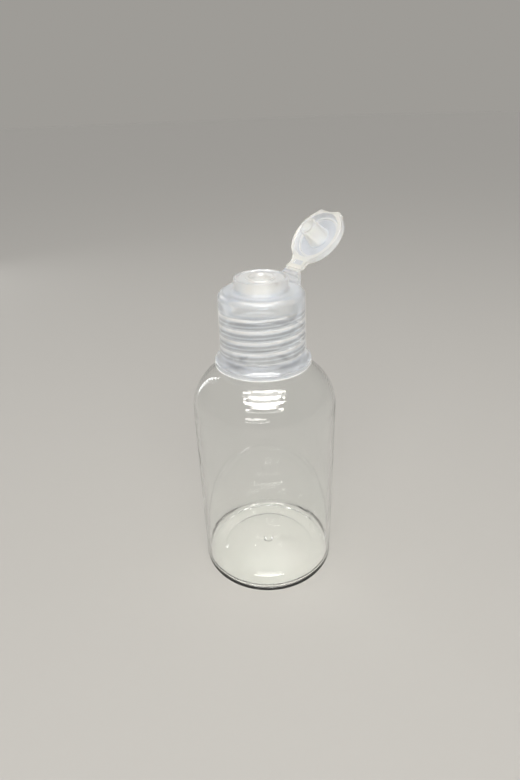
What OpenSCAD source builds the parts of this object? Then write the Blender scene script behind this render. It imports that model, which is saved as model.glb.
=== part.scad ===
// Small round squeeze bottle of clear plastic with a flip-top dispensing cap.
// Origin: centre of the base on the surface the bottle stands on. The axis of the
// bottle is +Z. The hinge of the lid is at the back, towards +Y.
// Three mouldings: the blown bottle, the cap body and the flip lid. The lid is
// drawn half opened, as it stands at rest.

/* [Bottle body] */
// radius of the straight body
body_r = 21.65; // [19:0.05:30]
// height at which the straight body ends and the shoulder begins
shoulder_z = 58.1; // [40:0.1:120]
// height of the ellipse that the shoulder follows
shoulder_h = 14; // [9:0.1:20]
// radius at which the shoulder's ellipse would reach its top
shoulder_r = 8; // [7.8:0.1:9]
// thickness of the blown wall
wall = 0.8; // [0.5:0.05:1.5]
// radius of the rounded heel between base and body
heel_r = 1.2; // [0.8:0.1:4]
// radius of the rounding inside the heel
heel_in_r = 2.6; // [1:0.1:4]
// radius at which the ring that the bottle stands on meets the raised base
stand_r = 15.4; // [10:0.1:16]
// height of the raised base in the middle
push_up = 2.2; // [0.5:0.1:4]
// shape of the raised base; a lower value makes it start more steeply at the ring
push_shape = 0.75; // [0.6:0.05:1.4]
// radius of the small moulding nub under the base
nub_r = 1.8; // [0.6:0.1:2.2]

/* [Bottle neck] */
// radius of the neck between the threads
neck_r = 9.1; // [8.6:0.05:10]
// radius of the bore of the neck
bore_r = 7.75; // [7.4:0.05:8.2]
// height of the neck above the shoulder
neck_h = 20.4; // [18:0.1:26]
// radius of the collar at the foot of the neck
collar_r = 10.2; // [9.2:0.05:10.4]
// height of the collar above the shoulder
collar_h = 1.6; // [0.6:0.1:2.5]

/* [Cap body] */
// outer radius of the skirt just under the rounded top edge
skirt_top_r = 12.2; // [11.8:0.05:13.4]
// outer radius of the skirt where the flare begins
skirt_low_r = 12.5; // [11.9:0.05:13.6]
// thickness of the skirt
skirt_t = 1.45; // [1:0.05:1.9]
// height of the flare at the lower edge
flare_h = 4.3; // [3:0.1:6]
// outer radius of the flare
flare_r = 14.05; // [12.8:0.05:18]
// height of the cap's lower edge above the foot of the neck
cap_gap = 0.3; // [0.2:0.05:1]
// thickness of the top plate
plate_t = 1.4; // [1.2:0.05:2]
// radius of the rounded edge between skirt and top plate
edge_r = 1.9; // [1:0.05:2.2]
// gap between the neck's rim and the underside of the plate
rim_gap = 0.3; // [0.15:0.05:0.8]

/* [Spout] */
// outer radius of the round boss
boss_r = 7.53; // [6.6:0.01:7.9]
// height of the boss above the top plate
boss_h = 3.55; // [3:0.05:4.6]
// thickness of the wall of the boss
boss_t = 1.1; // [0.8:0.05:1.6]
// depth of the dished top of the boss below its rim
dish_d = 0.5; // [0.2:0.05:0.8]
// outer radius of the spout tube
tube_r = 4.05; // [3.6:0.05:4.8]
// bore of the spout tube, as a radius
spout_r = 3; // [2.9:0.05:3.3]
// length of the spout tube
tube_l = 5.4; // [5:0.1:7]

/* [Flip lid] */
// outer radius of the lid
lid_r = 8.3; // [7.9:0.05:8.6]
// height of the wall of the lid
lid_h = 2.05; // [1.6:0.05:3]
// width of the lid's rim face
lid_rim = 1.3; // [1:0.05:1.8]
// thickness of the lid's disc
lid_t = 0.75; // [0.6:0.05:1.3]
// rise of the lid's domed top in the middle
lid_dome = 0.6; // [0:0.05:1.2]
// gap between the closed lid and the boss
lid_gap = 0.2; // [0.1:0.05:0.5]
// angle by which the lid stands open at rest
open_angle = 133; // [60:1:150]
// radius of the plug at its root
plug_root_r = 3.05; // [2.85:0.05:3.2]
// radius of the plug where it closes the mouth of the spout
plug_seal_r = 2.8; // [2.2:0.05:2.9]
// radius of the plug at its tip
plug_tip_r = 2.45; // [1.8:0.05:2.5]
// depth that the closed plug reaches below the hinge line
plug_depth = 3.9; // [2:0.1:4]
// thickness of the wall of the plug
plug_t = 0.55; // [0.4:0.05:0.8]
// half of the width between the two corners of the thumb edge
thumb_x = 3.7; // [2.5:0.05:4.5]
// distance of the thumb edge from the centre of the lid
thumb_y = 8; // [7.7:0.05:8.6]
// depth of the hollow of the thumb edge
thumb_d = 0.45; // [0.1:0.05:0.7]

/* [Hinge] */
// distance of the hinge line from the axis of the bottle
hinge_y = 11.6; // [11:0.05:12]
// width of the hinge
hinge_w = 6; // [4:0.1:8]
// radius of the bead along the hinge line
bead_r = 0.35; // [0.25:0.01:0.45]
// running clearance around the bead
bead_clear = 0.08; // [0.05:0.01:0.1]
// thickness of the strap between hinge and lid
strap_t = 0.8; // [0.6:0.05:1]
// thickness of the hinge post
post_t = 1.1; // [0.8:0.05:1.4]

/* [Quality] */
// number of sides used to draw round parts
round_sides = 96; // [48:12:144]

/* [Hidden] */
$fn = round_sides;
eps = 0.01;

// heights, from the surface up
neck_z = shoulder_z + shoulder_h * sqrt(1 - pow((collar_r - shoulder_r) / (body_r - shoulder_r), 2));
rim_z = neck_z + neck_h;
cap_z = neck_z + cap_gap;
plate_low_z = rim_z + rim_gap;
plate_z = plate_low_z + plate_t;
boss_z = plate_z + boss_h;
hinge_z = boss_z - 0.1;
base_t = wall + 0.2;
flare_z = cap_z + flare_h;

// colours of the pictured object
clear_plastic = [0.86, 0.89, 0.88, 0.35];
milky_plastic = [0.88, 0.90, 0.91, 0.8];

// points of a quarter or part of an ellipse, from angle a0 to a1 in n steps
function arc(cx, cy, rx, ry, a0, a1, n) =
    [for (i = [0:n]) [cx + rx * cos(a0 + (a1 - a0) * i / n), cy + ry * sin(a0 + (a1 - a0) * i / n)]];

// height of the raised base at a share of the ring's radius, from 0 in the middle to 1
function raised_z(share) = push_up * pow(max(cos(90 * share), 0), push_shape);

// outline of the outside, from the middle of the base up to the neck
outer_line = concat(
    [[0, push_up]],
    [for (i = [1:14]) [stand_r * i / 15, raised_z(i / 15)]],
    [[stand_r, 0]],
    [[body_r - heel_r, 0]],
    arc(body_r - heel_r, heel_r, heel_r, heel_r, -90, 0, 10),
    [for (p = arc(shoulder_r, shoulder_z, body_r - shoulder_r, shoulder_h, 0, 90, 36))
        if (p[0] > collar_r + 0.1) p],
    [[collar_r, neck_z]]
);

// outline of the inside, from under the neck down to the middle of the base
inner_line = concat(
    [[bore_r, neck_z + 0.3]],
    arc(shoulder_r, shoulder_z, body_r - wall - shoulder_r, shoulder_h - wall - 0.3, 90, 0, 24),
    arc(body_r - wall - heel_in_r, base_t + heel_in_r, heel_in_r, heel_in_r, 0, -90, 12),
    [[stand_r, base_t]],
    [for (i = [14:-1:1]) [stand_r * i / 15, base_t + raised_z(i / 15)]],
    [[0, base_t + push_up]]
);

module bottle_shell() {
    rotate_extrude()
        polygon(concat(
            outer_line,
            [[collar_r, neck_z + collar_h], [neck_r, neck_z + collar_h + 0.9],
             [neck_r, rim_z - 0.4], [neck_r - 0.4, rim_z],
             [bore_r + 0.3, rim_z], [bore_r, rim_z - 0.3]],
            inner_line));
}

module base_nub() {
    translate([0, 0, push_up - 0.5])
        cylinder(r1 = nub_r * 0.6, r2 = nub_r, h = 0.8, $fn = 48);
}

module bottle() {
    color(clear_plastic) {
        bottle_shell();
        base_nub();
    }
}

// section of the skirt, flare and top plate, with the boss's hollow left open below
module cap_section() {
    inner_top_r = skirt_top_r - skirt_t;
    inner_low_r = skirt_low_r - skirt_t;
    fillet = 0.9;
    polygon(concat(
        // outside, upwards
        [[flare_r - 0.35, cap_z], [flare_r, cap_z + 0.35], [flare_r, cap_z + 1.6]],
        arc(flare_r, flare_z, flare_r - skirt_low_r, flare_h - 1.6, 270, 180, 8),
        arc(skirt_top_r - edge_r, plate_z - edge_r, edge_r, edge_r, 0, 90, 10),
        // foot of the boss
        arc(boss_r + fillet, plate_z + fillet, fillet, fillet, 270, 180, 8),
        arc(boss_r - 0.3, boss_z - 0.3, 0.3, 0.3, 0, 90, 4),
        // dished top, ring around the spout
        [[boss_r - 0.75, boss_z], [boss_r - 1.15, boss_z - dish_d * 0.75],
         [tube_r + 0.25, boss_z - dish_d], [tube_r, boss_z - 0.12],
         [spout_r + 0.45, boss_z - 0.12], [spout_r, boss_z - 0.6]],
        // spout bore, downwards, and the hollow around the tube
        [[spout_r, boss_z - tube_l], [tube_r - 0.2, boss_z - tube_l],
         [tube_r, boss_z - tube_l + 0.2], [tube_r, boss_z - dish_d - 0.9],
         [boss_r - boss_t, boss_z - dish_d - 0.9], [boss_r - boss_t, plate_low_z]],
        // sealing ring that dips into the neck
        [[bore_r - 0.9, plate_low_z], [bore_r - 0.8, plate_low_z - 1.5],
         [bore_r - 0.5, plate_low_z - 1.5], [bore_r - 0.35, plate_low_z - 1.1],
         [bore_r - 0.35, plate_low_z]],
        // inside of the skirt, downwards
        [[inner_top_r - 0.3, plate_low_z], [inner_top_r, plate_low_z - 0.3],
         [inner_low_r, flare_z], [flare_r - skirt_t, cap_z + 1.2],
         [flare_r - skirt_t, cap_z]]
    ));
}

// section of the post that carries the hinge: Y to the right, Z up
module post_section() {
    out_y = hinge_y + 0.2;
    in_y = out_y - post_t;
    base_z = plate_z - 1.2;
    polygon([
        [out_y - 0.35, base_z], [out_y, base_z + 0.5], [out_y, hinge_z - 1.5],
        [hinge_y + 0.16, hinge_z - 0.7], [hinge_y + 0.16, hinge_z],
        [hinge_y - 0.16, hinge_z], [hinge_y - 0.16, hinge_z - 0.6],
        [in_y, hinge_z - 1.2], [in_y, plate_z + 1.0],
        [in_y - 0.25, plate_z + 0.4], [in_y - 0.9, plate_z], [in_y - 0.9, base_z]
    ]);
}

// the rounded roll at the top of the post, on the side of the spout
module post_roll() {
    translate([-hinge_w / 2, hinge_y - 0.75, hinge_z - 1.05])
        rotate([0, 90, 0])
            cylinder(r = 0.75, h = hinge_w, $fn = 48);
}

module hinge_bead(r) {
    translate([-hinge_w / 2, hinge_y, hinge_z])
        rotate([0, 90, 0])
            cylinder(r = r, h = hinge_w, $fn = 48);
}

module hinge_post() {
    translate([-hinge_w / 2, 0, 0])
        rotate([90, 0, 90])
            linear_extrude(height = hinge_w)
                post_section();
    post_roll();
    hinge_bead(bead_r);
}

module cap_body() {
    color(milky_plastic) {
        rotate_extrude()
            cap_section();
        hinge_post();
    }
}

// the flip lid is drawn closed and then swung open about the hinge line
lid_low_z = boss_z + lid_gap;
lid_high_z = lid_low_z + lid_h;
tip_z = hinge_z - plug_depth;

// height of the domed top at radius r, and of the floor under it
function top_z(r) = lid_high_z + lid_dome * (1 - pow(r / (lid_r - 0.35), 2));
function floor_z(r) = top_z(r) - lid_t;

module lid_disc_section() {
    in_r = lid_r - lid_rim;
    ring_r = in_r - 0.8;
    polygon(concat(
        [for (i = [0:8]) [(in_r - 1.1) * i / 8, floor_z((in_r - 1.1) * i / 8)]],
        // low ring inside the rim
        [[ring_r - 0.22, floor_z(ring_r) - 0.35], [ring_r + 0.22, floor_z(ring_r) - 0.35],
         [ring_r + 0.35, floor_z(ring_r)], [in_r - 0.15, floor_z(in_r)]],
        // rim face and outside of the wall
        [[in_r, lid_low_z + 0.15], [in_r + 0.15, lid_low_z], [lid_r - 0.15, lid_low_z],
         [lid_r, lid_low_z + 0.15], [lid_r, lid_high_z - 0.35]],
        [for (i = [10:-1:0]) [(lid_r - 0.35) * i / 10, top_z((lid_r - 0.35) * i / 10)]]
    ));
}

module plug_section() {
    root_z = floor_z(0);
    hole_r = plug_tip_r - plug_t;
    polygon([
        [plug_root_r + 0.5, root_z + 0.1], [plug_root_r + 0.1, root_z - 0.25],
        [plug_root_r, root_z - 0.6], [plug_seal_r, boss_z], [plug_tip_r, tip_z + 0.7],
        [plug_tip_r - 0.05, tip_z + 0.12], [plug_tip_r - 0.17, tip_z], [hole_r, tip_z],
        [hole_r, root_z + 0.1], [0, root_z + 0.1], [0, root_z + 0.3],
        [plug_root_r + 0.5, root_z + 0.3]
    ]);
}

// the thumb edge: a shallow hollow between two corners that stand a little proud
module thumb_corners() {
    side = [(lid_r - 0.2) * sin(40), (lid_r - 0.2) * cos(40)];
    difference() {
        translate([0, 0, lid_low_z])
            linear_extrude(height = lid_h - 0.1)
                polygon([[-thumb_x, -thumb_y], [-side[0], -side[1]], [0, -4],
                         [side[0], -side[1]], [thumb_x, -thumb_y]]);
        translate([0, 0, lid_low_z - 1])
            cylinder(r = lid_r - 0.6, h = lid_h + 2);
    }
}

module thumb_hollow() {
    // circle through both corners and thumb_d deep in the middle
    r = (thumb_x * thumb_x + thumb_d * thumb_d) / (2 * thumb_d);
    translate([0, -thumb_y - r + thumb_d, lid_low_z - 1])
        cylinder(r = r, h = lid_h + lid_dome + 2, $fn = 120);
}

// side view of the strap: it thins towards the hinge; Y to the right, Z up
module strap_section() {
    z = lid_low_z - lid_gap / 2;
    polygon([
        [lid_r - 1, z], [hinge_y, z], [hinge_y, z + 0.3], [hinge_y - 0.7, z + 0.45],
        [lid_r + 1.6, z + strap_t], [lid_r - 1, z + strap_t]
    ]);
}

// plan of the strap: it widens where it runs into the lid
module strap_plan() {
    wide = hinge_w / 2;
    polygon([
        [-wide, hinge_y], [-wide, lid_r + 1.1], [-wide - 0.35, lid_r + 0.3], [-wide - 1, lid_r - 0.6],
        [wide + 1, lid_r - 0.6], [wide + 0.35, lid_r + 0.3], [wide, lid_r + 1.1], [wide, hinge_y]
    ]);
}

module strap() {
    wide = hinge_w / 2;
    z = lid_low_z - lid_gap / 2;
    difference() {
        union() {
            intersection() {
                translate([-wide - 2, 0, 0])
                    rotate([90, 0, 90])
                        linear_extrude(height = hinge_w + 4)
                            strap_section();
                translate([0, 0, z - 1])
                    linear_extrude(height = 4)
                        strap_plan();
            }
            // low ribs along both edges
            for (s = [-1, 1])
                translate([s * (wide - 0.2) - 0.2, lid_r + 0.2, z - 0.14])
                    cube([0.4, hinge_y - lid_r - 0.9, 0.3]);
        }
        hinge_socket();
        // shallow window on the side that faces the spout
        translate([-1.6, lid_r + 0.45, z - eps])
            cube([3.2, 1.2, 0.22]);
    }
}

module hinge_socket() {
    translate([-hinge_w, hinge_y, hinge_z])
        rotate([0, 90, 0])
            cylinder(r = bead_r + bead_clear, h = 2 * hinge_w, $fn = 48);
    // the strap ends short of the hinge line, so it clears the post when the lid is folded right back
    translate([-hinge_w, hinge_y - 0.3, hinge_z - 2])
        cube([2 * hinge_w, 3, 5]);
}

module closed_lid() {
    difference() {
        union() {
            rotate_extrude()
                lid_disc_section();
            thumb_corners();
        }
        thumb_hollow();
    }
    rotate_extrude()
        plug_section();
    strap();
}

module flip_lid() {
    color(milky_plastic)
        translate([0, hinge_y, hinge_z])
            rotate([-open_angle, 0, 0])
                translate([0, -hinge_y, -hinge_z])
                    closed_lid();
}

bottle();
cap_body();
flip_lid();
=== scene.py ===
# %% [markdown]
# # A small clear bottle with a flip-top cap
# The real object is three mouldings: a blown bottle of clear plastic, a screw cap
# of milky, unpigmented plastic, and the cap's lid, which hangs on a thin folding
# strip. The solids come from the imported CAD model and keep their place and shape.
# Blender adds what a plain solid lacks: the screw thread, the folding strip, the
# rounded bead along the cap's lower edge, the clear and milky finishes, and the
# light that makes both readable.
# Everything is in metres, with the bottle's axis on Z and the hinge towards +Y.

# %% Load the fixed frame
import math

import bpy
import numpy as np
from mathutils import Matrix, Vector


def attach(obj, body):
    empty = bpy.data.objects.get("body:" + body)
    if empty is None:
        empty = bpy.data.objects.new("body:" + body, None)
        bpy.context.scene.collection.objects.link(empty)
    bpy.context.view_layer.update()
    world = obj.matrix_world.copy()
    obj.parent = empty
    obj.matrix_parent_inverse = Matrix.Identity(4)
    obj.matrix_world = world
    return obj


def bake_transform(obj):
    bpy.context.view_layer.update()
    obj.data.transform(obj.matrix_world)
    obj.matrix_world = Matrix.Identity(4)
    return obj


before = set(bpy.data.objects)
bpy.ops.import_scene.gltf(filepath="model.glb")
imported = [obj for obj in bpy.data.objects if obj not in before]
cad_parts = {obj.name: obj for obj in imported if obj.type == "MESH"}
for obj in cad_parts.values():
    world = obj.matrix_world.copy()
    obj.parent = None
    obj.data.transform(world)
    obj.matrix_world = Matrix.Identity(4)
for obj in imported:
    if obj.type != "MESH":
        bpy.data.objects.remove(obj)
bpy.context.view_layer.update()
MM = 0.001
UP = Vector((0, 0, 1))

# %% [markdown]
# ## The camera
# The photograph looks down on the bottle from close by, so the body narrows a lot
# towards its base. A pinhole camera was fitted to the outlines of the base, body,
# skirt and spout. It could be aimed with a Track To constraint, but the picture is
# also rolled by two degrees, so the three axes are worked out and put in a matrix.

# %% Place the camera
IMAGE_SIZE = (520, 780)
FOCAL_PIXELS = 519.17
EYE = Vector((111.13, -83.14, 136.79)) * MM
HINGE_TURN = math.radians(53.2)   # from the photograph's frame to the part's
PITCH, YAW, ROLL = (math.radians(a) for a in (28.143, -0.515, -1.912))


def camera_axes(pitch, yaw, roll):
    """Right, up and view axes of a camera that looks down by pitch, turned by yaw and tilted by roll."""
    flat = math.cos(pitch)
    view = Vector((math.sin(yaw) * flat, math.cos(yaw) * flat, -math.sin(pitch)))
    level = view.cross(UP).normalized()
    above = level.cross(view)
    right = math.cos(roll) * level + math.sin(roll) * above
    up = -math.sin(roll) * level + math.cos(roll) * above
    return right, up, view


turn = Matrix.Rotation(HINGE_TURN, 3, "Z")
right, up, view = (turn @ axis for axis in camera_axes(PITCH, YAW, ROLL))
camera = bpy.data.objects.new("camera", bpy.data.cameras.new("camera"))
camera.data.sensor_width = 36.0
camera.data.lens = FOCAL_PIXELS * camera.data.sensor_width / max(IMAGE_SIZE)
camera.data.clip_start = 0.005
camera.matrix_world = Matrix((
    (right.x, up.x, -view.x, EYE.x),
    (right.y, up.y, -view.y, EYE.y),
    (right.z, up.z, -view.z, EYE.z),
    (0, 0, 0, 1),
))
bpy.context.collection.objects.link(camera)
bpy.context.scene.camera = camera
print("lens in mm:", round(camera.data.lens, 2))

# %% [markdown]
# ## Meshes from arrays
# Each new piece is a grid of points that numpy works out in one go. A small
# function turns such a grid into a mesh, closes it and makes its faces point out.

# %% Turn a grid of points into a mesh piece
def grid_faces(rows, columns, closed_rows, closed_columns):
    """Four-cornered faces between neighbours of a grid, with wrap-around where a direction is closed."""
    i = np.arange(rows if closed_rows else rows - 1)
    j = np.arange(columns if closed_columns else columns - 1)
    i, j = np.meshgrid(i, j, indexing="ij")
    i2, j2 = (i + 1) % rows, (j + 1) % columns
    corners = [i * columns + j, i2 * columns + j, i2 * columns + j2, i * columns + j2]
    return np.stack(corners, -1).reshape(-1, 4)


def mesh_piece(name, points, faces, material, smooth_angle=40):
    """A mesh object at the origin from points in metres and faces given by index."""
    mesh = bpy.data.meshes.new(name)
    mesh.from_pydata(points.reshape(-1, 3), [], [list(map(int, f)) for f in faces])
    mesh.validate()
    mesh.polygons.foreach_set("use_smooth", np.ones(len(mesh.polygons), bool))
    mesh.set_sharp_from_angle(angle=math.radians(smooth_angle))
    mesh.materials.append(material)
    piece = bpy.data.objects.new(name, mesh)
    bpy.context.collection.objects.link(piece)
    return piece


def smooth_step(x):
    """Rises from 0 to 1 with level ends: 3 x squared less 2 x cubed, for x kept between 0 and 1."""
    x = np.clip(x, 0, 1)
    return x * x * (3 - 2 * x)


# %% [markdown]
# ## Patterns that both plastics share
# A moulded surface is never perfectly even. It has clouds where the melt cooled at
# different speeds, a slow waviness, and fine rubbing from handling. The two
# patterns are node groups, so each plastic uses them with its own sizes.

# %% Node helpers
def put(tree, kind, **settings):
    """A new node of a kind, with its properties set."""
    node = tree.nodes.new(kind)
    for key, value in settings.items():
        setattr(node, key, value)
    return node


def group_tree(name, inputs, outputs):
    """An empty shader node group with float inputs (name, default) and outputs (name, socket type)."""
    tree = bpy.data.node_groups.new(name, "ShaderNodeTree")
    for label, default in inputs:
        socket = tree.interface.new_socket(name=label, in_out="INPUT", socket_type="NodeSocketFloat")
        socket.default_value = default
    for label, kind in outputs:
        tree.interface.new_socket(name=label, in_out="OUTPUT", socket_type=kind)
    return tree, put(tree, "NodeGroupInput"), put(tree, "NodeGroupOutput")


def maths(tree, operation, a, b=None, clamp=False):
    """One Math node; a and b are sockets or numbers."""
    node = put(tree, "ShaderNodeMath", operation=operation, use_clamp=clamp)
    for k, value in enumerate((a, b)):
        if isinstance(value, (int, float)):
            node.inputs[k].default_value = value
        elif value is not None:
            tree.links.new(value, node.inputs[k])
    return node.outputs[0]


# %% Cooling clouds: slow, uneven patches
def cooling_clouds():
    """Two sizes of noise, the finer one at a third of the weight, spread to the full range."""
    tree, given, result = group_tree(
        "cooling_clouds", [("Size per metre", 120.0)], [("Cloud", "NodeSocketFloat")])
    place = put(tree, "ShaderNodeTexCoord")
    slow = put(tree, "ShaderNodeTexNoise", noise_dimensions="3D")
    fine = put(tree, "ShaderNodeTexNoise", noise_dimensions="3D")
    slow.inputs["Detail"].default_value = 2.0
    fine.inputs["Detail"].default_value = 4.0
    tree.links.new(place.outputs["Object"], slow.inputs["Vector"])
    tree.links.new(place.outputs["Object"], fine.inputs["Vector"])
    tree.links.new(given.outputs[0], slow.inputs["Scale"])
    tree.links.new(maths(tree, "MULTIPLY", given.outputs[0], 5.0), fine.inputs["Scale"])
    mixed = maths(tree, "ADD", maths(tree, "MULTIPLY", slow.outputs["Fac"], 0.75),
                  maths(tree, "MULTIPLY", fine.outputs["Fac"], 0.25))
    spread = put(tree, "ShaderNodeMapRange", interpolation_type="SMOOTHSTEP")
    spread.inputs["From Min"].default_value = 0.36
    spread.inputs["From Max"].default_value = 0.64
    tree.links.new(mixed, spread.inputs["Value"])
    tree.links.new(spread.outputs["Result"], result.inputs["Cloud"])
    return tree


# %% Handling marks: fine rubbing, mostly round the bottle
def handling_marks():
    """Noise squeezed along the axis and kept only above a level.

    It reads as short hair lines round the part.
    """
    tree, given, result = group_tree(
        "handling_marks", [("Size per metre", 260.0), ("Level", 0.62)], [("Mark", "NodeSocketFloat")])
    place = put(tree, "ShaderNodeTexCoord")
    stretch = put(tree, "ShaderNodeMapping")
    stretch.inputs["Scale"].default_value = (1.0, 1.0, 9.0)
    noise = put(tree, "ShaderNodeTexNoise", noise_dimensions="3D")
    noise.inputs["Detail"].default_value = 6.0
    noise.inputs["Roughness"].default_value = 0.7
    tree.links.new(place.outputs["Object"], stretch.inputs["Vector"])
    tree.links.new(stretch.outputs["Vector"], noise.inputs["Vector"])
    tree.links.new(given.outputs[0], noise.inputs["Scale"])
    over = maths(tree, "SUBTRACT", noise.outputs["Fac"], given.outputs[1])
    tree.links.new(maths(tree, "MULTIPLY", over, 8.0, clamp=True), result.inputs["Mark"])
    return tree


CLOUDS = cooling_clouds()
MARKS = handling_marks()
print("pattern groups:", [g.name for g in (CLOUDS, MARKS)])

# %% [markdown]
# ## The two plastics
# Both are a Principled BSDF, because glass and milky plastic are the same shader
# with other values: how much light passes, how rough the way through is, and how
# much of the rest is scattered under the surface. Light Path lets the rays from
# the lamps through, so the inside isn't left in a hard shadow that the real,
# thin-walled plastic doesn't cast.

# %% A material with its shader and a way through for lamp light
def plastic(name, let_through):
    """A material that shows its Principled shader, and lets lamp rays through in the given tint."""
    material = bpy.data.materials.new(name)
    material.use_nodes = True
    tree = material.node_tree
    tree.nodes.clear()
    shader = put(tree, "ShaderNodeBsdfPrincipled")
    out = put(tree, "ShaderNodeOutputMaterial")
    clear = put(tree, "ShaderNodeBsdfTransparent")
    clear.inputs["Color"].default_value = (*let_through, 1)
    path = put(tree, "ShaderNodeLightPath")
    mix = put(tree, "ShaderNodeMixShader")
    tree.links.new(path.outputs["Is Shadow Ray"], mix.inputs["Fac"])
    tree.links.new(shader.outputs[0], mix.inputs[1])
    tree.links.new(clear.outputs[0], mix.inputs[2])
    tree.links.new(mix.outputs[0], out.inputs["Surface"])
    return material, tree, shader


def pattern(tree, group, *values):
    """A group node with its float inputs set; gives its first output."""
    node = put(tree, "ShaderNodeGroup", node_tree=group)
    for k, value in enumerate(values):
        node.inputs[k].default_value = value
    return node.outputs[0]


def between(tree, factor, low, high):
    """A value that follows factor from low to high."""
    node = put(tree, "ShaderNodeMapRange")
    node.inputs["To Min"].default_value = low
    node.inputs["To Max"].default_value = high
    tree.links.new(factor, node.inputs["Value"])
    return node.outputs["Result"]


def blend_colour(tree, factor, first, second):
    """A colour that goes from first to second with factor; each is a socket or three numbers."""
    node = put(tree, "ShaderNodeMix", data_type="RGBA")
    tree.links.new(factor, node.inputs[0])
    sockets = [s for s in node.inputs if s.type == "RGBA"]
    for socket, colour in zip(sockets, (first, second)):
        if isinstance(colour, tuple):
            socket.default_value = (*colour, 1)
        else:
            tree.links.new(colour, socket)
    return next(s for s in node.outputs if s.type == "RGBA")


# %% Clear blown plastic
def clear_plastic():
    """Smooth clear plastic whose wall waves slightly, as blown walls do."""
    material, tree, shader = plastic("clear_blown_plastic", (0.86, 0.87, 0.865))
    shader.inputs["Transmission Weight"].default_value = 1.0
    shader.inputs["IOR"].default_value = 1.57
    cloud = pattern(tree, CLOUDS, 38.0)
    mark = pattern(tree, MARKS, 300.0, 0.63)
    tint = blend_colour(tree, cloud, (0.992, 0.996, 0.994), (0.975, 0.985, 0.98))
    tree.links.new(tint, shader.inputs["Base Color"])
    tree.links.new(between(tree, mark, 0.015, 0.05), shader.inputs["Roughness"])
    wave = put(tree, "ShaderNodeBump")
    wave.inputs["Strength"].default_value = 0.09
    wave.inputs["Distance"].default_value = 0.0002
    tree.links.new(cloud, wave.inputs["Height"])
    tree.links.new(wave.outputs["Normal"], shader.inputs["Normal"])
    return material


# %% [markdown]
# ### Thick and thin places of the milky plastic
# Unpigmented plastic scatters a little light in its depth. A thick rim gathers much
# of it and looks creamy, and a thin wall over a hollow looks a cool lilac grey. A
# volume shader would give this by itself, but slowly and not in an exported model.
# So masks in the piece's own coordinates say where the real moulding is thick, and
# the base colour paints that light: painted glow in cream where it is thick, and
# painted shade in dim lilac grey where a thin wall stands over a hollow.

# %% Masks from a point's place on the piece
def edge(tree, value, low, high):
    """0 below low and 1 above high, with a smooth rise between; turned round if low is above high."""
    node = put(tree, "ShaderNodeMapRange", interpolation_type="SMOOTHSTEP")
    rising = low < high
    node.inputs["From Min"].default_value = min(low, high)
    node.inputs["From Max"].default_value = max(low, high)
    node.inputs["To Min"].default_value = 0.0 if rising else 1.0
    node.inputs["To Max"].default_value = 1.0 if rising else 0.0
    tree.links.new(value, node.inputs["Value"])
    return node.outputs["Result"]


def both(tree, *masks):
    """The product of masks: 1 only where all are 1."""
    result = masks[0]
    for mask in masks[1:]:
        result = maths(tree, "MULTIPLY", result, mask)
    return result


def any_of(tree, *masks):
    """The largest of the masks; the last may be a number."""
    result = masks[0]
    for mask in masks[1:]:
        result = maths(tree, "MAXIMUM", result, mask)
    return result


def round_place(tree, turn=(0, 0, 0), shift=(0, 0, 0)):
    """Sockets for x, y, height and distance from the axis in millimetres, and the angle in radians."""
    place = put(tree, "ShaderNodeTexCoord")
    turned = put(tree, "ShaderNodeMapping")
    turned.inputs["Rotation"].default_value = turn
    turned.inputs["Location"].default_value = shift
    larger = put(tree, "ShaderNodeVectorMath", operation="SCALE")
    larger.inputs["Scale"].default_value = 1 / MM
    split = put(tree, "ShaderNodeSeparateXYZ")
    tree.links.new(place.outputs["Object"], turned.inputs["Vector"])
    tree.links.new(turned.outputs["Vector"], larger.inputs["Vector"])
    tree.links.new(larger.outputs["Vector"], split.inputs["Vector"])
    x, y, z = split.outputs
    squares = maths(tree, "ADD", maths(tree, "MULTIPLY", x, x), maths(tree, "MULTIPLY", y, y))
    return x, y, z, maths(tree, "SQRT", squares), maths(tree, "ARCTAN2", y, x)


# %% Milky moulded plastic, with its colours from thin to thick
# colours from thin to thick: painted shade of a thin wall over a hollow, up to painted glow of a thick
# place
THIN, FAIR, PALE = (0.66, 0.68, 0.69), (0.86, 0.89, 0.95), (0.94, 0.955, 0.965)
CREAM, WARM_CREAM = (1.0, 0.995, 0.965), (1.0, 0.985, 0.92)
FAIR_DEPTH, PALE_DEPTH = 0.4, 0.65   # the thicknesses, from 0 to 1, that look fair and pale
UNEVEN = 0.16                        # how much the cooling clouds change the thickness


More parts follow.
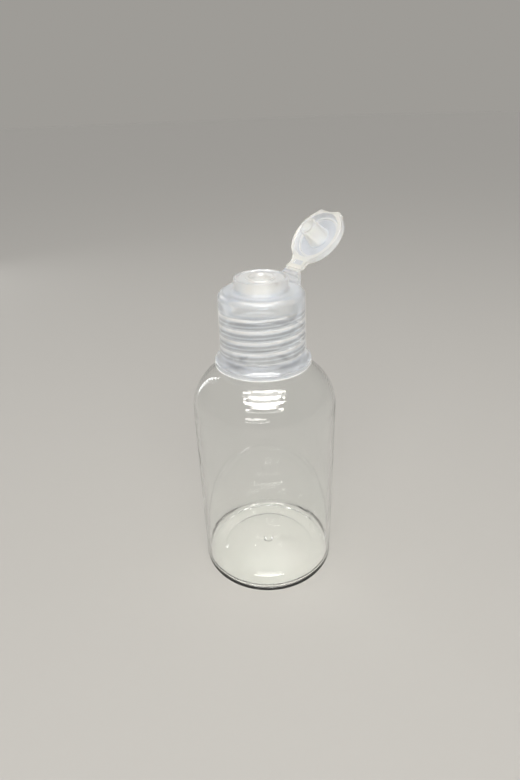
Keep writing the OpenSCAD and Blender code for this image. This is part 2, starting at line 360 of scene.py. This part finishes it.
def milky_plastic(name, thickness, passing=0.73, deepest=CREAM):
    """Unpigmented plastic through which light passes softly.

    Its colour goes with the thickness, from 0 to 1: a dim grey, fair, pale, and the deepest colour.
    These colours are painted light: painted shade where the wall is thin, painted glow where it is
    thick.
    """
    material, tree, shader = plastic(name, (0.84, 0.845, 0.86))
    shader.inputs["Transmission Weight"].default_value = passing
    shader.inputs["IOR"].default_value = 1.49
    shader.inputs["Subsurface Weight"].default_value = 0.6
    shader.inputs["Subsurface Radius"].default_value = (1.0, 0.95, 0.9)
    shader.inputs["Subsurface Scale"].default_value = 0.0012
    shader.inputs["Sheen Weight"].default_value = 0.35
    shader.inputs["Sheen Roughness"].default_value = 0.3
    shader.inputs["Sheen Tint"].default_value = (1.0, 0.98, 0.93, 1)
    cloud = pattern(tree, CLOUDS, 160.0)
    mark = pattern(tree, MARKS, 420.0, 0.6)
    # the ramp paints scattered light: dim grey painted shade for thin places, cream painted glow for
    # thick ones
    ramp = put(tree, "ShaderNodeValToRGB")
    stops = ramp.color_ramp.elements
    stops[0].color = (*THIN, 1)
    stops[1].color = (*deepest, 1)
    stops.new(FAIR_DEPTH).color = (*FAIR, 1)
    stops.new(PALE_DEPTH).color = (*PALE, 1)
    uneven = maths(tree, "MULTIPLY", maths(tree, "SUBTRACT", cloud, 0.5), UNEVEN)
    tree.links.new(maths(tree, "ADD", thickness(tree), uneven), ramp.inputs["Fac"])
    tree.links.new(ramp.outputs["Color"], shader.inputs["Base Color"])
    tree.links.new(between(tree, mark, 0.02, 0.05), shader.inputs["Roughness"])
    grain = put(tree, "ShaderNodeBump")
    grain.inputs["Strength"].default_value = 0.15
    grain.inputs["Distance"].default_value = 0.00005
    tree.links.new(cloud, grain.inputs["Height"])
    tree.links.new(grain.outputs["Normal"], shader.inputs["Normal"])
    return material


# %% Where the cap is thick and thin
PITCH_Z = 3.175           # rise of the screw thread per turn in mm: eight turns to the inch
CAMERA_SIDE = math.atan2(EYE.y, EYE.x)
CAP_THREAD_FRONT = 85.6   # height in mm of the cap's ridge at the camera's side
# thicknesses from 0 to 1, the depth of the painted line of the neck's ridge, and how much thinner the
# flare is
SKIRT_DEPTH, POST_DEPTH, PAINTED_NECK_LINE_DEPTH, FLARE_LESS = 0.48, 0.6, 0.6, 0.3
BOSS_WITHOUT_GLOW = 0.65         # the boss's depth away from the painted glow, where it doesn't face the eye


def thread_lines(tree, z, angle):
    """Lines along the helix of the threads, partly painted light: a broad one and a fine one in each
    turn.

    The broad one is the thicker wall where the cap's ridge stands, and its crisp top and its fade
    downwards paint the light on the ridge's upper flank. The fine one is a painted image of the
    neck's ridge as seen through the wall.
    """
    rise = maths(tree, "DIVIDE", maths(tree, "SUBTRACT", z, CAP_THREAD_FRONT), PITCH_Z)
    round_by = maths(tree, "DIVIDE", maths(tree, "SUBTRACT", angle, CAMERA_SIDE), 2 * math.pi)
    above = maths(tree, "SUBTRACT", rise, round_by)
    down = maths(tree, "FRACT", maths(tree, "SUBTRACT", 0.25, above))
    # the cap's ridge thickens the wall; the crisp top and the soft fade below paint the lit upper flank
    broad = both(tree, edge(tree, down, 0.0, 0.06), edge(tree, down, 0.5, 0.12))
    # painted image of the neck's ridge seen through the cap's wall
    fine = both(tree, edge(tree, down, 0.56, 0.63), edge(tree, down, 0.8, 0.68))
    return any_of(tree, broad, maths(tree, "MULTIPLY", fine, PAINTED_NECK_LINE_DEPTH))


def cap_thickness(tree):
    """Thick lower edge, boss, spout tube and post, thin flare, and lines where the thread stands.

    The masks' limits are heights and distances from the axis in millimetres. Boss and band are
    painted deeper, so creamier, where they face the eye: a painted glow for the light that the
    spout tube and the neck behind them scatter.
    """
    _, y, z, distance, angle = round_place(tree)
    weight = put(tree, "ShaderNodeLayerWeight")
    # painted glow: boss and band creamier where they face the eye, for light that the tube and neck
    # behind them scatter
    facing_glow = edge(tree, weight.outputs["Facing"], 0.40, 0.26)
    lower_edge = edge(tree, z, 73.1, 72.4)
    boss = both(tree, edge(tree, z, 93.6, 95.4), edge(tree, distance, 8.4, 7.8),
                maths(tree, "ADD", maths(tree, "MULTIPLY", facing_glow, 1 - BOSS_WITHOUT_GLOW), BOSS_WITHOUT_GLOW))
    band = both(tree, edge(tree, z, 89.6, 90.6), edge(tree, distance, 10.5, 11.2), facing_glow)
    tube = both(tree, edge(tree, z, 91.0, 91.6), edge(tree, distance, 4.5, 4.2))
    post = both(tree, edge(tree, y, 10.6, 11.0), edge(tree, z, 94.6, 95.2))
    post = maths(tree, "MULTIPLY", post, POST_DEPTH)
    solid = any_of(tree, lower_edge, boss, band, tube, post, SKIRT_DEPTH)
    flare = both(tree, edge(tree, z, 76.6, 75.4), edge(tree, z, 72.9, 73.3),
                 edge(tree, distance, 11.6, 12.2))
    solid = maths(tree, "SUBTRACT", solid, maths(tree, "MULTIPLY", flare, FLARE_LESS))
    wall = both(tree, edge(tree, z, 76.0, 77.0), edge(tree, z, 89.9, 89.1),
                edge(tree, distance, 9.9, 10.3))
    mixed = put(tree, "ShaderNodeMix", data_type="FLOAT")
    tree.links.new(wall, mixed.inputs[0])
    tree.links.new(solid, mixed.inputs[2])
    tree.links.new(thread_lines(tree, z, angle), mixed.inputs[3])
    return mixed.outputs[0]


# %% Where the lid is thick and thin
HINGE = np.array([0.0, 11.6, 97.467])   # a point of the hinge line in mm
OPEN_ANGLE = math.radians(133)          # from shut to the photographed pose
# thicknesses from 0 to 1, and how much thinner the window in the strap is
PLUG_DEPTH, RING_DEPTH, DISC_DEPTH, WINDOW_LESS = 0.85, 0.7, 0.3, 0.6


def lid_thickness(tree):
    """Thick: rim, plug, inner ring and strap; thin: the disc and the window in the strap.

    The masks' limits are millimetres in the place that the lid has when it is shut.
    """
    shut = np.array(Matrix.Rotation(OPEN_ANGLE, 3, "X"))
    shift = (HINGE - shut @ HINGE) * MM
    x, y, z, distance, _ = round_place(tree, (OPEN_ANGLE, 0, 0), tuple(shift))
    rim = edge(tree, distance, 6.9, 7.3)
    plug = both(tree, edge(tree, distance, 3.5, 3.2), edge(tree, z, 99.6, 99.3))
    ring = both(tree, edge(tree, distance, 5.6, 5.9), edge(tree, distance, 6.7, 6.5))
    window = both(tree, edge(tree, maths(tree, "ABSOLUTE", x), 1.9, 1.6),
                  edge(tree, y, 8.5, 8.7), edge(tree, y, 10.1, 9.9))
    solid = any_of(tree, rim, maths(tree, "MULTIPLY", plug, PLUG_DEPTH),
                   maths(tree, "MULTIPLY", ring, RING_DEPTH), DISC_DEPTH)
    return maths(tree, "SUBTRACT", solid, maths(tree, "MULTIPLY", window, WINDOW_LESS))


def all_thick(tree):
    """Thick all over: the ridge inside the cap and the bead on its edge add to the wall's depth."""
    _, _, _, distance, _ = round_place(tree)
    return edge(tree, distance, 9.0, 9.6)


# %% Give the solids their finishes
CLEAR = clear_plastic()
MILKY_CAP = milky_plastic("milky_cap", cap_thickness)
MILKY_LID = milky_plastic("milky_lid", lid_thickness, passing=0.68, deepest=WARM_CREAM)
MILKY_RIDGE = milky_plastic("milky_ridge", all_thick, passing=0.45)
for node_name, finish in (("bottle", CLEAR), ("cap_body", MILKY_CAP), ("flip_lid", MILKY_LID)):
    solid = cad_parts[node_name]
    solid.data.materials.clear()
    solid.data.materials.append(finish)

# %% [markdown]
# ## The screw thread
# The cap screws on to a ridge that winds round the neck, and a second ridge
# inside the cap runs in the space between. It could be a Screw modifier on an
# edge. A formula is better here, because the ridge must fade out at both ends and
# must stand where the photograph shows it through the skirt. The bead along the
# cap's lower edge is a closed ring, made by the same helper.

# %% Ridges that wind round the axis
def ridge(foot_r, crest_r, foot_width, crest_width, front_z, turns_down, turns_up, fade=0.3, steps=96):
    """Points of a right-hand ridge.

    At angle t from the camera's side its middle is at height front_z + PITCH_Z * t / (2 pi).
    Its section has a foot at foot_r and a rounded crest at crest_r, and the crest sinks
    into the foot over the fade, in turns, at each end.
    """
    t = np.linspace(-turns_down, turns_up, int(steps * (turns_down + turns_up)))
    rise = smooth_step((t + turns_down) / fade) * smooth_step((turns_up - t) / fade)
    # the section's eight corners, from the lower foot to the upper one
    across = np.array([-0.5, -0.5, -0.36, -0.2, 0.2, 0.36, 0.5, 0.5])
    height = np.array([-0.06, 0.0, 0.75, 1.0, 1.0, 0.75, 0.0, -0.06])
    width = foot_width * np.abs(across) / 0.5
    crest = np.abs(across) < 0.45
    width[crest] = crest_width * np.array([1.25, 0.8, 0.8, 1.25])
    z = np.sign(across) * width / 2
    r = foot_r + (crest_r - foot_r) * height[None, :] * np.where(height > 0, rise[:, None], 1.0)
    angle = CAMERA_SIDE + 2 * math.pi * t[:, None]
    narrowing = 0.35 + 0.65 * rise[:, None]
    lift = front_z + PITCH_Z * t[:, None] + z[None, :] * narrowing
    return np.stack([r * np.cos(angle), r * np.sin(angle), lift], -1) * MM


def tube_piece(name, points, material, flip, ring=False):
    """A piece from a tube of points, closed with a face at each end or joined to a ring.

    Flip turns its faces round, for a tube whose points run the other way about.
    """
    rows, columns = points.shape[:2]
    faces = [tuple(f) for f in grid_faces(rows, columns, ring, True)]
    if not ring:
        faces.append(tuple(range(columns)))
        faces.append(tuple(rows * columns - 1 - k for k in range(columns)))
    if flip:
        faces = [f[::-1] for f in faces]
    piece = mesh_piece(name, points, faces, material)
    return piece


def rim_ring(r, z, half_width, half_height, steps=144, corners=12):
    """Ring round the axis with an oval section: r + half_width cos c out, z + half_height sin c up."""
    a = np.arange(steps) * 2 * math.pi / steps
    c = np.arange(corners) * 2 * math.pi / corners
    a, c = np.meshgrid(a, c, indexing="ij")
    out = r + half_width * np.cos(c)
    return np.stack([out * np.cos(a), out * np.sin(a), z + half_height * np.sin(c)], -1) * MM


# %% Make both ridges and the bead
neck_ridge = ridge(foot_r=9.1, crest_r=9.95, foot_width=1.35, crest_width=0.8,
                   front_z=87.2, turns_down=2.45, turns_up=0.75)
cap_ridge = ridge(foot_r=10.98, crest_r=9.62, foot_width=1.3, crest_width=0.7,
                  front_z=CAP_THREAD_FRONT, turns_down=2.3, turns_up=1.1)
bead = rim_ring(r=13.76, z=72.52, half_width=0.36, half_height=0.3)
neck_thread = tube_piece("neck_thread", neck_ridge, CLEAR, flip=False)
cap_thread = tube_piece("cap_thread", cap_ridge, MILKY_RIDGE, flip=True)
lower_rim = tube_piece("lower_rim", bead, MILKY_RIDGE, flip=False, ring=True)
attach(neck_thread, "bottle")
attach(cap_thread, "cap_body")
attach(lower_rim, "cap_body")


def signed_volume(piece):
    """Six times the volume is the sum, over the triangles, of the triple product of their corners."""
    piece.data.calc_loop_triangles()
    points = np.empty(len(piece.data.vertices) * 3)
    corners = np.empty(len(piece.data.loop_triangles) * 3, int)
    piece.data.vertices.foreach_get("co", points)
    piece.data.loop_triangles.foreach_get("vertices", corners)
    a, b, c = points.reshape(-1, 3)[corners.reshape(-1, 3)].transpose(1, 0, 2)
    return float(np.einsum("ij,ij->i", a, np.cross(b, c)).sum() / 6)


for piece in (neck_thread, cap_thread, lower_rim):
    print(piece.name, "volume in mm3:", round(signed_volume(piece) * 1e9, 1))

# %% [markdown]
# ## The folding strip
# Cap and lid are one moulding, joined by a strip so thin that it folds. In CAD a
# round bead stands for it. The visible strip is a short sheet from the post to
# the lid's strap, bent as it is in the photographed pose. It could
# be split at the hinge line, but then a gap would open at its outer side.

# %% Sweep the strip from the post over the hinge line to the strap
def folding_strip(start=-0.75, end=0.95, width=5.9, thickness=0.26, to_middle=0.18, steps=13):
    """A sheet of even thickness along a path that starts on the post.

    At s mm from the hinge line the path goes straight up before the line and along the open
    strap after it, and there it moves smoothly to the middle of the strap's thickness.
    """
    out = np.array([-math.cos(OPEN_ANGLE), math.sin(OPEN_ANGLE)])
    s = np.linspace(start, end, steps)[:, None]
    bend = smooth_step((s + 0.25) / 0.5)
    lift = np.where(s < 0, s, 0) * np.array([[0.0, 1.0]])
    path = lift + np.where(s > 0, s, 0) * out[None, :]
    along = (1 - bend) * np.array([[0.0, 1.0]]) + bend * out[None, :]
    along /= np.linalg.norm(along, axis=1, keepdims=True)
    side = np.stack([-along[:, 1], along[:, 0]], -1)
    offset = side * (to_middle * smooth_step((s - 0.1) / 0.4))
    corners = [(-1, -1), (1, -1), (1, 1), (-1, 1)]
    rows = []
    for a, b in corners:
        yz = path + offset + b * side * thickness / 2
        x = np.full(steps, a * width / 2)
        rows.append(np.stack([x, HINGE[1] + yz[:, 0], HINGE[2] + yz[:, 1]], -1))
    return np.stack(rows, 1) * MM


strip = tube_piece("folding_strip", folding_strip(), MILKY_LID, flip=False)
print("folding_strip volume in mm3:", round(signed_volume(strip) * 1e9, 2))
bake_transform(strip)

# %% [markdown]
# ## The stage
# The bottle stands on a plain pale floor, so that the part looks right in any
# setting. The floor could be a sheet that bends up behind the part. A large level
# one is simpler, and the backdrop takes on its far colour.

# %% Floor
def plain_finish(name, colour, roughness):
    """A matt, even finish for the stage, which isn't part of the object."""
    material = bpy.data.materials.new(name)
    material.use_nodes = True
    shader = material.node_tree.nodes["Principled BSDF"]
    shader.inputs["Base Color"].default_value = (*colour, 1)
    shader.inputs["Roughness"].default_value = roughness
    shader.inputs["Specular IOR Level"].default_value = 0.2
    return material


FLOOR_HALF = 12.0
FLOOR_Z = -0.02 * MM   # a hair below the base, so the two faces don't share a plane
FLOOR_COLOUR = (0.505, 0.487, 0.455)
square = np.array([(-1, -1, 0), (1, -1, 0), (1, 1, 0), (-1, 1, 0)]) * FLOOR_HALF
square = square + np.array([0, 0, FLOOR_Z])
floor = mesh_piece("floor", square, [(0, 1, 2, 3)], plain_finish("pale_floor", FLOOR_COLOUR, 0.75))
print("floor in metres:", 2 * FLOOR_HALF)

# %% [markdown]
# ## The lamps
# Clear plastic shows only by what it bends and mirrors, so the lamps are set out
# where the photograph's bars of light ask for them: four strips over the front for
# the shoulder, a panel behind them for the haze and for the bar on the flare, and
# two fine lines below. One bright lamp would be simpler, but a bar that is bright
# enough to see in a mirror image would light the part too much. So most of these
# lamps are seen as mirror images only, and a broad fill lamp lights the cap softly.

# %% Lamps, and which rays meet them
def soft_lamp(name, place, aim, size, watts, colour):
    """An oblong lamp at a place in metres, turned to shine at the aim."""
    data = bpy.data.lights.new(name, "AREA")
    data.shape = "RECTANGLE"
    data.size, data.size_y = size
    data.energy = watts
    data.color = colour
    lamp = bpy.data.objects.new(name, data)
    lamp.location = place
    lamp.rotation_euler = (Vector(aim) - Vector(place)).to_track_quat("-Z", "Y").to_euler()
    bpy.context.collection.objects.link(lamp)
    return lamp


def mirrored_only(lamp, through=False):
    """Keep a lamp for mirror images; through keeps the images that lie inside the bottle too."""
    lamp.visible_camera = lamp.visible_diffuse = False
    lamp.visible_transmission = through


def lighting_only(lamp):
    """Keep a lamp for the light that it gives: no mirror and no clear wall shows it."""
    lamp.visible_camera = lamp.visible_glossy = lamp.visible_transmission = False


toward = Vector((math.cos(CAMERA_SIDE), math.sin(CAMERA_SIDE), 0))
sideways = Vector((-toward.y, toward.x, 0))
LAMP_AIM = Vector((0, 0, 0.08))
WARM, NEUTRAL, COOL = (1.0, 0.985, 0.955), (1.0, 0.99, 0.97), (0.97, 0.985, 1.0)


def round_the_front(elevation, distance=0.5):
    """A place at an angle above the level, on the camera's side; past 90 degrees it is behind."""
    angle = math.radians(elevation)
    return LAMP_AIM + distance * (math.cos(angle) * toward + math.sin(angle) * UP)


# %% Strips, lines, panel, fill and side lamp
STRIP_SIZE = (0.5, 0.04)
STRIP_WATTS, TWIN_WATTS = 0.26, 0.7   # a strip lights the part, and its twin is a mirror image only
TWIN_DISTANCE = 0.49                  # just in front of the strip
for k, elevation in enumerate((42, 56, 71, 86)):
    place = round_the_front(elevation)
    soft_lamp(f"strip_{k + 1}", place, LAMP_AIM, STRIP_SIZE, STRIP_WATTS, WARM)
    place = round_the_front(elevation, TWIN_DISTANCE)
    twin = soft_lamp(f"strip_{k + 1}_mirrored", place, LAMP_AIM, STRIP_SIZE, TWIN_WATTS, WARM)
    mirrored_only(twin, through=k in (1, 2))
LINE_SHIFT, LINE_WIDTH = 0.10, 0.012
for k, (elevation, length, watts) in enumerate(((25, 0.26, 0.09), (17, 0.33, 0.10))):
    place = round_the_front(elevation) - LINE_SHIFT * sideways
    line = soft_lamp(f"line_{k + 1}", place, LAMP_AIM, (length, LINE_WIDTH), watts, WARM)
    mirrored_only(line, through=True)
lighting_only(soft_lamp("fill", round_the_front(32, 0.6), LAMP_AIM, (0.6, 0.4), 1.2, NEUTRAL))
mirrored_only(soft_lamp("panel", round_the_front(66, 0.53), LAMP_AIM, (0.40, 0.50), 2.7, WARM))
behind_left = toward * -0.36 - sideways * 0.34 + Vector((0, 0, 0.17))
soft_lamp("side", behind_left, (0, 0, 0.07), (0.014, 0.36), 0.12, COOL)

# %% [markdown]
# ### The glow on the base
# In the photograph the bottle's wall gathers the lamps' light into a bright patch
# on the base. Tracing that light would take very many rays. Three small spot lamps
# in the bottle, which no mirror and no wall shows, throw a soft patch on the floor
# in its place.

# %% Spots for the gathered light: mm forward, mm across, cone in degrees, watts
GLOW_SPOTS = ((6, 0, 30, 0.02), (9, 3, 18, 0.012), (8, -3.5, 16, 0.010))
GLOW_HEIGHT, GLOW_RADIUS = 0.045, 0.003
for k, (forward, across, cone, watts) in enumerate(GLOW_SPOTS):
    glow = bpy.data.lights.new(f"base_glow_{k + 1}", "SPOT")
    glow.energy = watts
    glow.spot_size = math.radians(cone)
    glow.spot_blend = 1.0
    glow.shadow_soft_size = GLOW_RADIUS
    spot = bpy.data.objects.new(f"base_glow_{k + 1}", glow)
    spot.location = (toward * forward + sideways * across) * MM + Vector((0, 0, GLOW_HEIGHT))
    lighting_only(spot)
    bpy.context.collection.objects.link(spot)

# %% [markdown]
# ### The surroundings
# A clear part mirrors and bends whatever is round it. The world gives soft white
# light, but where it is seen, mirrored or looked through it has the floor's far
# colour, so that the backdrop draws no hard edge into the walls. Large panels
# round the part could do the same, with more pieces.

# %% World: soft surroundings for the light, a plain backdrop for the eye
def surroundings(light, seen_colour):
    """A world that lights softly with white, and is seen and mirrored in a colour of its own."""
    world = bpy.data.worlds.new("surroundings")
    world.use_nodes = True
    tree = world.node_tree
    tree.nodes.clear()
    path = put(tree, "ShaderNodeLightPath")
    seen = maths(tree, "MAXIMUM", path.outputs["Is Camera Ray"], path.outputs["Is Glossy Ray"])
    seen = maths(tree, "MAXIMUM", seen, path.outputs["Is Transmission Ray"])
    background = put(tree, "ShaderNodeBackground")
    colour = blend_colour(tree, seen, (light, light, light), seen_colour)
    tree.links.new(colour, background.inputs["Color"])
    out = put(tree, "ShaderNodeOutputWorld")
    tree.links.new(background.outputs[0], out.inputs["Surface"])
    return world


WORLD_LIGHT = 0.68
far_floor = tuple(WORLD_LIGHT * c for c in FLOOR_COLOUR)   # what the floor sends out far from the lamps
bpy.context.scene.world = surroundings(WORLD_LIGHT, far_floor)
bpy.context.scene.view_settings.view_transform = "Standard"
print("backdrop colour:", [round(c, 3) for c in far_floor])
